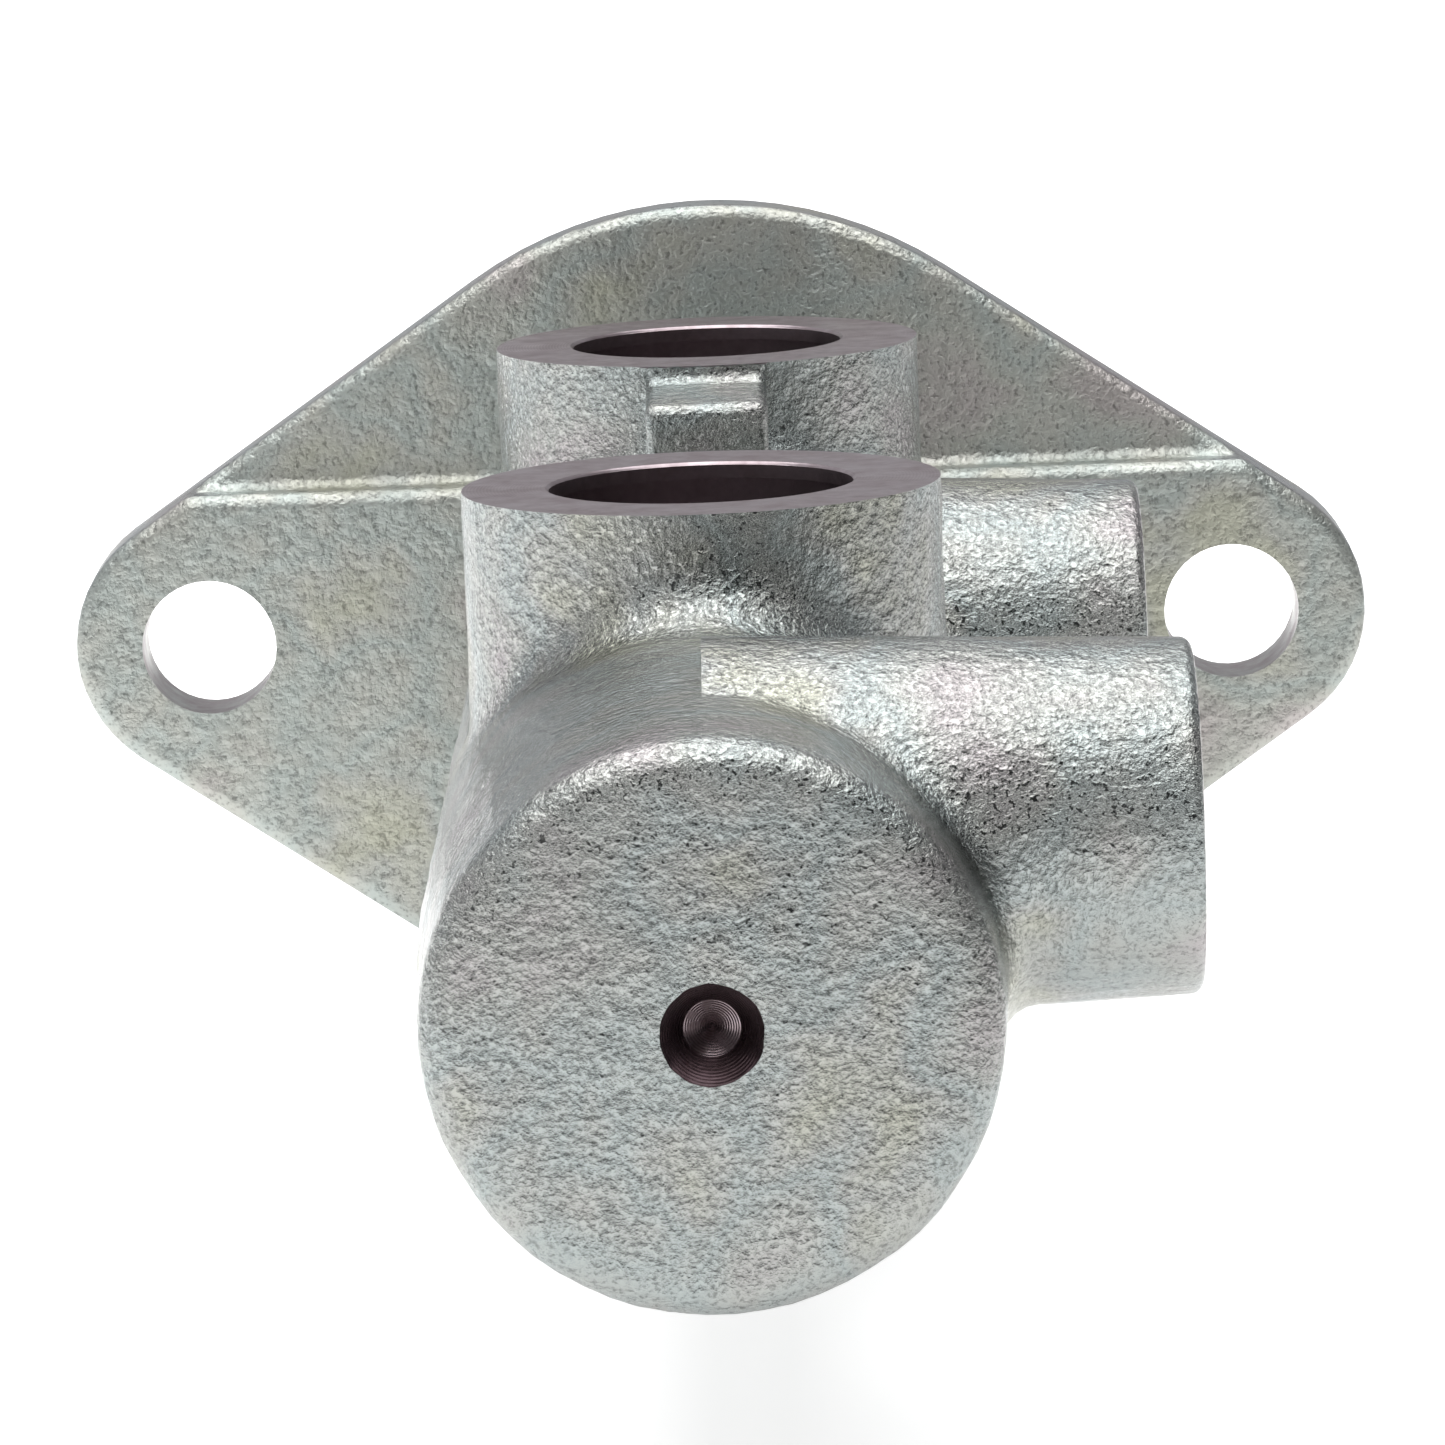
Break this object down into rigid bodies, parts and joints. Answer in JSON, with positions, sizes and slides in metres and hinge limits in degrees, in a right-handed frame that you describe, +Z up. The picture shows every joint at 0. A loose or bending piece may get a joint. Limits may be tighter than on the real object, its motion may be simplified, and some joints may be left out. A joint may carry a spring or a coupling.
{
  "type": "tandem brake master cylinder",
  "caption": "Flanged tandem master cylinder: drafted cast barrel with a closed end, round inlet bosses on top, side outlet bosses, and spring-returned pistons inside.",
  "frame": {"origin": "centre of the flange's mounting face, on the bore's axis, midway between the stud holes", "axes": "+Y along the bore towards the pushrod, so the closed end is at negative Y; +Z up towards the reservoir inlets; +X the way the brake-pipe outlets face"},
  "size_m": [0.101, 0.2143, 0.066],
  "materials": {
    "zinc_plated_cast_iron": "sand cast, zinc plated and passivated, satin with faint colour tints",
    "brass_seat": "turned",
    "rubber_seal": "moulded",
    "nylon_guide": "moulded",
    "anodised_piston": "turned and anodised",
    "spring_steel": "drawn wire, oiled",
    "pressed_steel": "pressed or turned, zinc plated"
  },
  "bodies": {
    "housing": {"cylinder_body": "zinc_plated_cast_iron", "outlet_seat_front": "brass_seat", "outlet_seat_rear": "brass_seat", "stop_pin": "pressed_steel", "spigot_o_ring": "rubber_seal", "stop_washer": "pressed_steel", "vacuum_seal": "rubber_seal", "guide_ring": "nylon_guide", "snap_ring": "pressed_steel", "secondary_spring": "spring_steel"},
    "secondary_piston_group": {"secondary_spring_seat": "pressed_steel", "secondary_cup": "rubber_seal", "secondary_cup_washer": "pressed_steel", "secondary_piston": "anodised_piston", "separator_cup_front": "rubber_seal", "separator_cup_rear": "rubber_seal", "primary_spring_retainer": "pressed_steel", "primary_spring": "spring_steel"},
    "primary_piston_group": {"captive_screw": "pressed_steel", "primary_spring_seat": "pressed_steel", "primary_cup": "rubber_seal", "primary_cup_washer": "pressed_steel", "primary_piston": "anodised_piston", "rear_cup": "rubber_seal"}
  },
  "joints": [
    {"name": "secondary_piston_slide", "type": "slide", "parent": "housing", "child": "secondary_piston_group", "axis": [0, -1, 0], "range_m": [0, 0.013], "stiffness_N_per_m": 2000, "springref_m": -0.02, "deforming": ["secondary_spring"]},
    {"name": "primary_piston_slide", "type": "slide", "parent": "secondary_piston_group", "child": "primary_piston_group", "axis": [0, -1, 0], "range_m": [0, 0.014], "stiffness_N_per_m": 4000, "springref_m": -0.02, "deforming": ["primary_spring"]}
  ]
}
